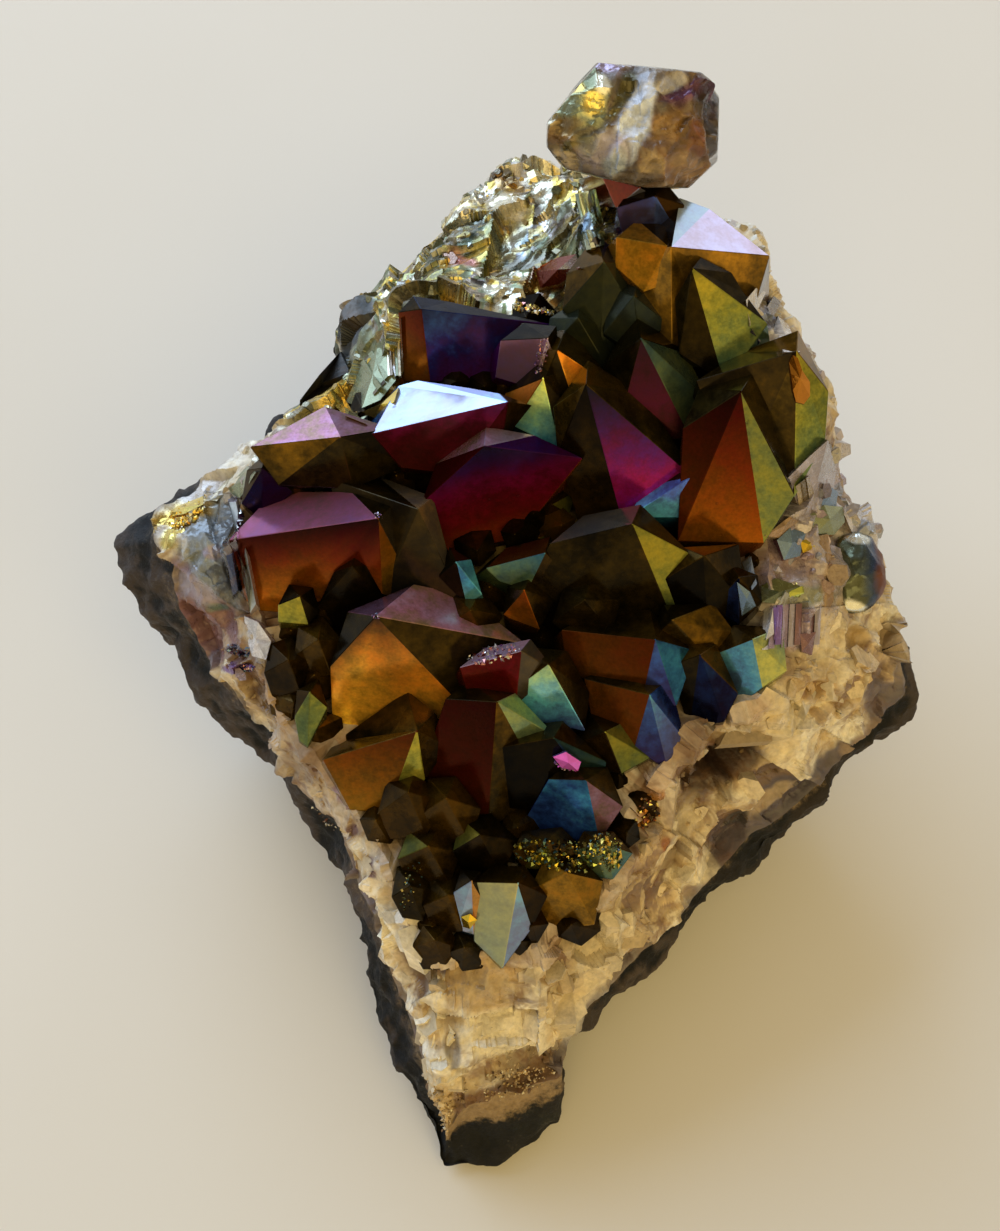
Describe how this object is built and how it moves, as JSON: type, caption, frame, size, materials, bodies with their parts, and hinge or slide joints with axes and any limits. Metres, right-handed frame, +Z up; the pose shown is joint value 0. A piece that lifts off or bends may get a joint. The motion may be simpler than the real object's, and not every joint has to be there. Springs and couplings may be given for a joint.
{
  "type": "titanium druzy quartz shard",
  "caption": "Broken shard of a geode wall: dark basalt rind, tan quartz band and metal-coated quartz points in iridescent gold, purple, red and blue, with a broken knob on top.",
  "frame": {"origin": "on the flat resting patch under the rind, below the middle of the crystal side", "axes": "+Z up; -Y towards the low front tip, the way the crystal side faces; +X to the right as seen from the front tip"},
  "size_m": [0.069, 0.0797, 0.0583],
  "materials": {
    "coated_points": "quartz under a thin titanium film, mirror-like, iridescent",
    "basalt_rind": "rough broken basalt, matt, with paler weathered patches",
    "quartz_band": "massive broken quartz, tan to cream, brown stains, waxy to glassy",
    "crinkled_ridge": "broken quartz under the film, crinkled gold and silver",
    "clear_quartz": "broken see-through quartz, smoky, brown inclusions, glassy"
  },
  "bodies": {
    "root": {"druzy_shard": "coated_points"}
  },
  "joints": []
}
